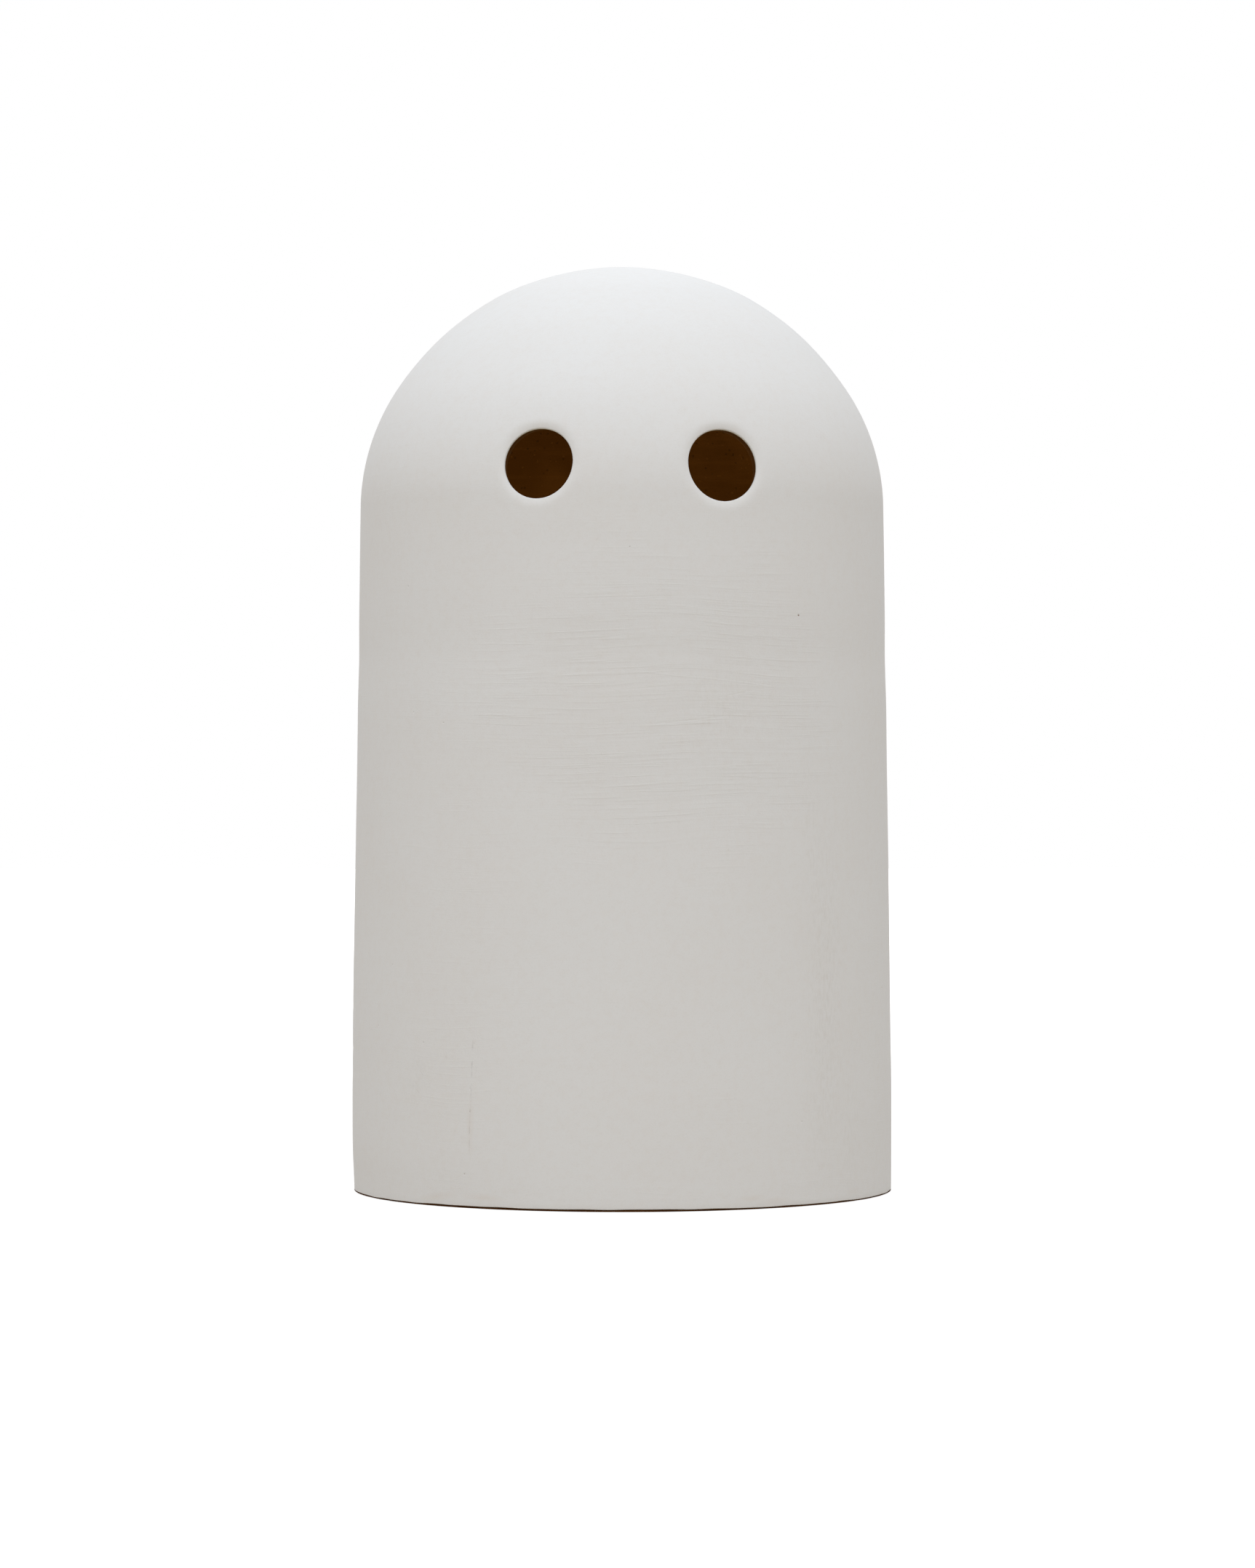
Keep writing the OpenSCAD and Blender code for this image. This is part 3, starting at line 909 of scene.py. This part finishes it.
def stoneware(name, body, colours, tool_length, tool_width, tool_depth):
    """Stoneware clay, bare and fired brown. The tool's marks have a length and a width in
    millimetres, drawn out level, and a depth."""
    material, nodes = new_material(name)
    place = add(nodes, "TexCoord")["Object"]
    drawn = add(nodes, "VectorMath", (
        place, [1 / (reach * MM) for reach in (tool_length, tool_length, tool_width)]),
        operation="MULTIPLY")[0]
    wipes = add(nodes, "TexNoise", {
        "Vector": drawn, "Scale": 1.0, "Detail": 4.0, "Roughness": 0.6})["Fac"]
    # Grains of grog and iron, each under a millimetre wide, in cells of 1.1 mm
    grains = add(nodes, "TexVoronoi", {"Vector": place, "Scale": 1 / (1.1 * MM)})
    pick = add(nodes, "SeparateColor", (grains["Color"],))
    near = add(nodes, "Math", (grains["Distance"], 0.38), operation="LESS_THAN")[0]
    # One cell in fourteen holds iron, and one in ten grog
    specks = []
    for channel, share in ((pick[0], 0.07), (pick[1], 0.10)):
        rare = add(nodes, "Math", (channel, share), operation="LESS_THAN")[0]
        specks.append(add(nodes, "Math", (near, rare), operation="MULTIPLY")[0])
    iron, grog = specks
    grain = add(nodes, "TexNoise", {
        "Vector": place, "Scale": 1 / (0.67 * MM), "Detail": 3.0})["Fac"]
    # Relief in millimetres
    relief = add(nodes, "Math", (wipes, tool_depth), operation="MULTIPLY")[0]
    lumps = add(nodes, "TexNoise", {
        "Vector": place, "Scale": 1 / (3.8 * MM), "Detail": 3.0})["Fac"]
    for factor, depth in ((grain, 0.05), (grog, 0.06), (iron, -0.05), (lumps, 0.10)):
        relief = add(nodes, "Math", (factor, depth, relief), operation="MULTIPLY_ADD")[0]
    bump = add(nodes, "Bump", {"Strength": 1.0, "Distance": MM, "Height": relief})[0]
    slurry = add(nodes, "TexNoise", {
        "Vector": place, "Scale": 1 / (26 * MM), "Detail": 5.0})["Fac"]
    paint = tinted(nodes, (*body, 1), (
        (slurry, 0.42, 0.75, 0.55, colours.clay_light),
        (wipes, 0.5, 0.8, 0.35, colours.clay_light),
        (grog, 0.0, 1.0, 0.35, colours.clay_light),
        (iron, 0.0, 1.0, 0.35, colours.clay_speck)))
    rough = add(nodes, "MapRange", {"Value": grain, "To Min": 0.9, "To Max": 1.0})[0]
    shader = add(nodes, "BsdfPrincipled", {
        "Base Color": paint, "Roughness": rough, "IOR": 1.5, "Specular IOR Level": 0.04,
        "Normal": bump})[0]
    add(nodes, "OutputMaterial", {"Surface": shader})
    return material


def bare_clay(colours):
    """Dark stoneware of the dome and the wall, wiped with a damp sponge: dull, warm and dry to
    the eye, with slurry drawn out level and fine specks."""
    known = bpy.data.materials.get("wiped_brown_stoneware")
    return known or stoneware("wiped_brown_stoneware", colours.clay, colours, 40, 3, 0.16)


def coil_clay(colours):
    """Softer stoneware of the coils and the foot ring, pressed by thumb: a shade paler, with
    creases across the pressing."""
    known = bpy.data.materials.get("pressed_brown_stoneware")
    return known or stoneware("pressed_brown_stoneware", colours.coil, colours, 7, 5, 0.22)


def looking(nodes):
    """1 for a ray that looks straight at a thing, in a reflection or through glass, and else 0."""
    seen = add(nodes, "LightPath")
    mirrored = add(nodes, "Math", (seen["Is Glossy Ray"], seen["Is Transmission Ray"]),
                   operation="MAXIMUM")[0]
    return add(nodes, "Math", (seen["Is Camera Ray"], mirrored), operation="MAXIMUM")[0]


def painted_board(colours, hollow):
    """Board under matt white paint: what looks at it sees it white, with the figure's soft
    shadow, and the figure gets its pale colour back from it."""
    material, nodes = new_material("white_painted_board")
    seen, cast = looking(nodes), (*colours.floor, 1)
    # The board is lit from within as well, so that no dark ring lies round the foot
    bounce = add(nodes, "BsdfDiffuse", {"Color": cast})[0]
    within = add(nodes, "Emission", {"Color": cast, "Strength": 1.8})[0]
    paper = add(nodes, "AddShader", (bounce, within))[0]
    # Only this share of the light that falls on it is seen, so that the shadow stays soft
    faint = add(nodes, "BsdfDiffuse", {"Color": (*from_hex("#959595"), 1)})[0]
    # From 0.15 to 1 m away from the figure the board fades to plain white
    place = add(nodes, "TexCoord")["Object"]
    away = add(nodes, "VectorMath", (place,), operation="LENGTH")["Value"]
    fade = add(nodes, "MapRange", (away, 0.15, 1.0, 0.8, 1.0))[0]
    # Inside the foot it lies in the figure's own shade, with 3 % of the glow
    outside = add(nodes, "Math", (away, hollow), operation="GREATER_THAN")[0]
    kept = add(nodes, "Math", (outside, 0.03), operation="MAXIMUM")[0]
    fade = add(nodes, "Math", (fade, kept), operation="MULTIPLY")[0]
    glow = add(nodes, "Emission", {"Color": WHITE, "Strength": fade})[0]
    shown = add(nodes, "AddShader", (faint, glow))[0]
    board = add(nodes, "MixShader", (seen, paper, shown))[0]
    add(nodes, "OutputMaterial", {"Surface": board})
    return material


def lay_floor(colours, hollow):
    """Lays the floor of painted board. The radius of the figure's hollow is given."""
    mesh = bpy.data.meshes.new("studio_floor")
    # Half the floor's width in metres, and its top, just under the foot's flat face
    reach, top = 6.0, -0.02 * MM
    mesh.from_pydata([(-reach, -reach, top), (reach, -reach, top), (reach, reach, top),
                      (-reach, reach, top)], [], [(0, 1, 2, 3)])
    floor = put("studio_floor", mesh)
    mesh.materials.append(painted_board(colours, hollow))


def light_room(studio):
    """Puts a pale room round the figure, which is plain white to what looks at it."""
    world = bpy.data.worlds.new("pale_studio_room")
    bpy.context.scene.world = world
    world.use_nodes = True
    nodes = world.node_tree.nodes
    nodes.clear()
    direction = add(nodes, "TexCoord")["Generated"]
    upward = add(nodes, "SeparateXYZ", (direction,))[2]
    # The strength passes from low to side, and from side to top, between these rises
    level = 0.0
    for low, high, start, end in (
            (0.1, 0.45, studio.room_low, studio.room_side),
            (0.45, 0.85, 0.0, studio.room_top - studio.room_side)):
        step = add(nodes, "MapRange", (upward, low, high, start, end),
                   interpolation_type="SMOOTHSTEP")[0]
        level = add(nodes, "Math", (step, level), operation="ADD")[0]
    room, plain = (add(nodes, "Background", {"Color": WHITE, "Strength": strength})[0]
                   for strength in (level, 1.0))
    mixed = add(nodes, "MixShader", (looking(nodes), room, plain))[0]
    add(nodes, "OutputWorld", {"Surface": mixed})


def hang_lamps(studio, colours):
    """Hangs two softboxes, and sets a soft glow in the hollow to show the clay inside."""
    # In metres: where each softbox hangs, what it is aimed at, and its width and height
    for name, place, aim, spread, watts in (
            ("front_softbox", (0, -2.0, 1.6), (0, 0, 0.2), (2.8, 1.25), studio.front),
            ("left_softbox", (-1.4, -0.3, 0.35), (0, 0, 0.15), (0.8, 0.6), studio.left)):
        lamp = bpy.data.lights.new(name, "AREA")
        lamp.shape = "RECTANGLE"
        lamp.size, lamp.size_y = spread
        lamp.energy = watts
        box = put(name, lamp)
        box.location = place
        way = [a - p for a, p in zip(aim, place)]
        box.rotation_euler = (math.atan2(math.hypot(way[0], way[1]), -way[2]), 0,
                              math.atan2(-way[0], way[1]))
        box.visible_camera = False
    lamp = bpy.data.lights.new("hollow_glow", "POINT")
    lamp.energy = studio.hollow
    lamp.color = colours.hollow
    lamp.shadow_soft_size = 60 * MM
    glow = put("hollow_glow", lamp)
    glow.location = (0, 0, 190 * MM)
    glow.visible_camera = False


def stand_camera(studio):
    """Stands the camera level in front of the figure, a little to one side."""
    scene = bpy.context.scene
    camera = bpy.data.cameras.new("camera")
    camera.lens, camera.sensor_width = studio.lens, 36
    camera.clip_start, camera.clip_end = 0.05, 100
    stand = put("camera", camera)
    sine, cosine = math.sin(studio.face_turn), math.cos(studio.face_turn)
    stand.location = (-studio.distance * sine + studio.aside * cosine,
                      -studio.distance * cosine - studio.aside * sine, studio.camera_height)
    stand.rotation_euler = (math.pi / 2, 0, -studio.face_turn)
    scene.camera = stand
    scene.view_settings.view_transform = "Standard"


def build_stage(studio, colours, hollow):
    """Lays the floor, lights the room and sets up the camera. The hollow's radius is given."""
    lay_floor(colours, hollow)
    light_room(studio)
    hang_lamps(studio, colours)
    stand_camera(studio)


class GHOST_OT_slip_coat(bpy.types.Operator):
    """Brush the white slip over the clay"""

    bl_idname = "ghost.slip_coat"
    bl_label = "Brushed Slip Coat"

    def execute(self, context):
        build_slip(context.scene.ghost_sizes, context.scene.ghost_colours)
        return {"FINISHED"}


class GHOST_OT_clay_dome(bpy.types.Operator):
    """Press the clay dome with its eye holes"""

    bl_idname = "ghost.clay_dome"
    bl_label = "Clay Dome"

    def execute(self, context):
        build_dome(context.scene.ghost_sizes, context.scene.ghost_colours)
        return {"FINISHED"}


class GHOST_OT_clay_wall(bpy.types.Operator):
    """Bend the slab wall of clay"""

    bl_idname = "ghost.clay_wall"
    bl_label = "Clay Wall"

    def execute(self, context):
        build_wall(context.scene.ghost_sizes, context.scene.ghost_colours)
        return {"FINISHED"}


class GHOST_OT_coils(bpy.types.Operator):
    """Press the joint coil and the seam coil"""

    bl_idname = "ghost.coils"
    bl_label = "Pressed Coils"

    def execute(self, context):
        build_coils(context.scene.ghost_sizes, context.scene.ghost_colours)
        return {"FINISHED"}


class GHOST_OT_foot_ring(bpy.types.Operator):
    """Lute the ring inside the foot"""

    bl_idname = "ghost.foot_ring"
    bl_label = "Foot Ring"

    def execute(self, context):
        build_foot_ring(context.scene.ghost_sizes, context.scene.ghost_colours)
        return {"FINISHED"}


class GHOST_OT_studio(bpy.types.Operator):
    """Lay the floor, light the room and set up the camera"""

    bl_idname = "ghost.studio"
    bl_label = "Studio"

    def execute(self, context):
        scene = context.scene
        sizes = scene.ghost_sizes
        hollow = sizes.belly_radius - sizes.foot_draw - sizes.slip - sizes.clay
        build_stage(scene.ghost_studio, scene.ghost_colours, hollow)
        return {"FINISHED"}


STEPS = (GHOST_OT_clay_dome, GHOST_OT_clay_wall, GHOST_OT_coils, GHOST_OT_foot_ring,
         GHOST_OT_slip_coat, GHOST_OT_studio)
SETTINGS = {"ghost_sizes": GhostSizes, "ghost_colours": GhostColours,
            "ghost_studio": GhostStudio}


class GHOST_PT_figure(bpy.types.Panel):
    """Lists the figure's pieces, sizes and colours"""

    bl_idname = "GHOST_PT_figure"
    bl_label = "Ghost Figure"
    bl_space_type = "VIEW_3D"
    bl_region_type = "UI"
    bl_category = "Ghost Figure"

    def draw(self, context):
        for step in STEPS:
            self.layout.operator(step.bl_idname)
        for name, group in SETTINGS.items():
            box = self.layout.box()
            box.label(text=group.__doc__)
            for value in group.__annotations__:
                box.prop(getattr(context.scene, name), value)


def register():
    """Makes the settings, the operators and the panel known to Blender."""
    for cls in (*SETTINGS.values(), *STEPS, GHOST_PT_figure):
        bpy.utils.register_class(cls)
    for name, group in SETTINGS.items():
        setattr(bpy.types.Scene, name, bpy.props.PointerProperty(type=group))


def unregister():
    """Takes them away again."""
    for name in SETTINGS:
        delattr(bpy.types.Scene, name)
    for cls in reversed((*SETTINGS.values(), *STEPS, GHOST_PT_figure)):
        bpy.utils.unregister_class(cls)


def main():
    """Builds the figure and its studio."""
    register()
    bpy.ops.ghost.clay_dome()
    bpy.ops.ghost.clay_wall()
    bpy.ops.ghost.coils()
    bpy.ops.ghost.foot_ring()
    bpy.ops.ghost.slip_coat()
    bpy.ops.ghost.studio()


if __name__ == "__main__":
    main()
